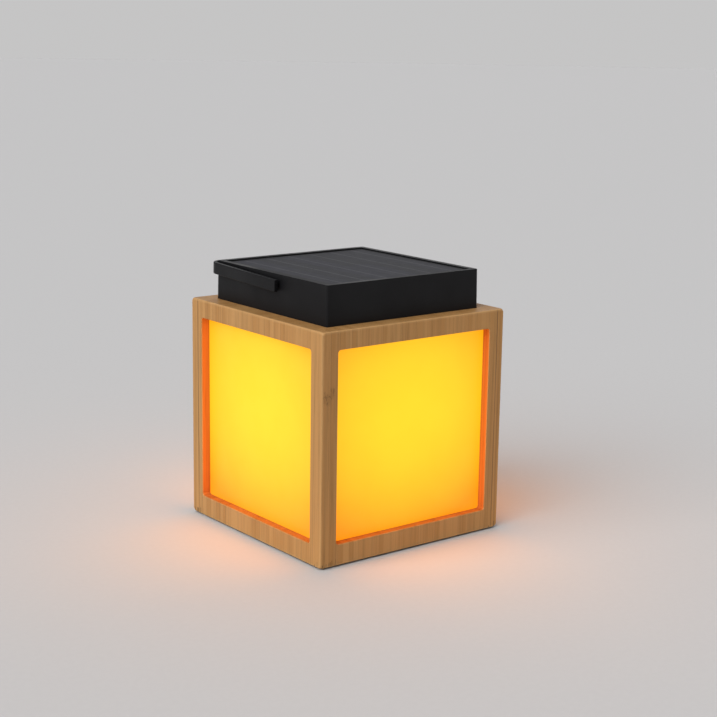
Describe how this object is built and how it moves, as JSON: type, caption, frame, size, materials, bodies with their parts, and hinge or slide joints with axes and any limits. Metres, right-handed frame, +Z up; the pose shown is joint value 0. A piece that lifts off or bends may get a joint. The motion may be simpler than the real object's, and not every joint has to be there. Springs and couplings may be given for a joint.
{
  "type": "solar lantern",
  "caption": "Cube table lantern of bamboo boards with frosted windows, topped by a lift-out black solar light module with a folding bail handle.",
  "frame": {"origin": "middle of the ground that the four feet stand on", "axes": "+Z up, -Y the front, towards the picture's right-hand face, -X the picture's left-hand face"},
  "size_m": [0.15, 0.15, 0.1787],
  "materials": {
    "bamboo": "laminated bamboo, oiled, satin",
    "bamboo_strip": "sawn bamboo, bare",
    "opal_pane": "frosted opal acrylic, lit from inside",
    "opal_dome": "opal polycarbonate, lit from inside",
    "black_plastic": "black moulded plastic, fine spark texture",
    "handle_plastic": "black moulded plastic, satin",
    "white_plastic": "white moulded plastic",
    "solar_panel": "dark cells under clear laminate, glossy",
    "rubber": "black rubber, matt",
    "foam": "grey foam tape",
    "steel": "zinc plated",
    "green_board": "green solder mask",
    "led_board": "white coated",
    "led_phosphor": "yellow phosphor gel",
    "chip_plastic": "black epoxy",
    "capacitor_can": "bright can",
    "cell_wrap": "blue heat-shrink sleeve over a metal can",
    "red_lead": "red silicone insulation",
    "black_lead": "black silicone insulation"
  },
  "bodies": {
    "box": {"front_wall": "bamboo", "back_wall": "bamboo", "left_wall": "bamboo", "right_wall": "bamboo", "base_board": "bamboo", "corner_bead_front_left": "bamboo_strip", "corner_bead_front_right": "bamboo_strip", "corner_bead_back_right": "bamboo_strip", "corner_bead_back_left": "bamboo_strip", "corner_block_front_left": "bamboo_strip", "corner_block_front_right": "bamboo_strip", "corner_block_back_right": "bamboo_strip", "corner_block_back_left": "bamboo_strip", "front_pane": "opal_pane", "back_pane": "opal_pane", "left_pane": "opal_pane", "right_pane": "opal_pane", "foot_front_left": "rubber", "foot_front_right": "rubber", "foot_back_right": "rubber", "foot_back_left": "rubber", "base_screw_front": "steel", "base_screw_right": "steel", "base_screw_back": "steel", "base_screw_left": "steel"},
    "module": {"led_dome": "opal_dome", "module_housing": "black_plastic", "module_cover": "black_plastic", "battery_holder": "black_plastic", "solar_panel": "solar_panel", "cover_gasket": "rubber", "panel_foam": "foam", "battery_tape": "foam", "cover_screw_front_left": "steel", "cover_screw_front_right": "steel", "cover_screw_back_right": "steel", "cover_screw_back_left": "steel", "board_screw_left": "steel", "board_screw_right": "steel", "positive_contact": "steel", "negative_contact": "steel", "circuit_board": "green_board", "led_board": "led_board", "led_emitter": "led_phosphor", "controller_chip": "chip_plastic", "charge_inductor": "chip_plastic", "push_switch": "chip_plastic", "smoothing_capacitor": "capacitor_can", "battery_cell": "cell_wrap", "panel_lead_positive": "red_lead", "battery_lead_positive": "red_lead", "led_lead_positive": "red_lead", "panel_lead_negative": "black_lead", "battery_lead_negative": "black_lead", "led_lead_negative": "black_lead"},
    "handle": {"handle": "handle_plastic"},
    "button": {"power_button": "white_plastic"}
  },
  "joints": [
    {"name": "module_lift", "type": "slide", "parent": "box", "child": "module", "axis": [0, 0, 1], "range_m": [0, 0.06]},
    {"name": "handle_swing", "type": "hinge", "parent": "module", "child": "handle", "pos_m": [0, 0, 0.17195], "axis": [1, 0, 0], "range_deg": [0, 184]},
    {"name": "button_press", "type": "slide", "parent": "module", "child": "button", "axis": [0, 0, 1], "range_m": [0, 0.001], "stiffness_N_per_m": 500, "springref_m": -0.001}
  ]
}
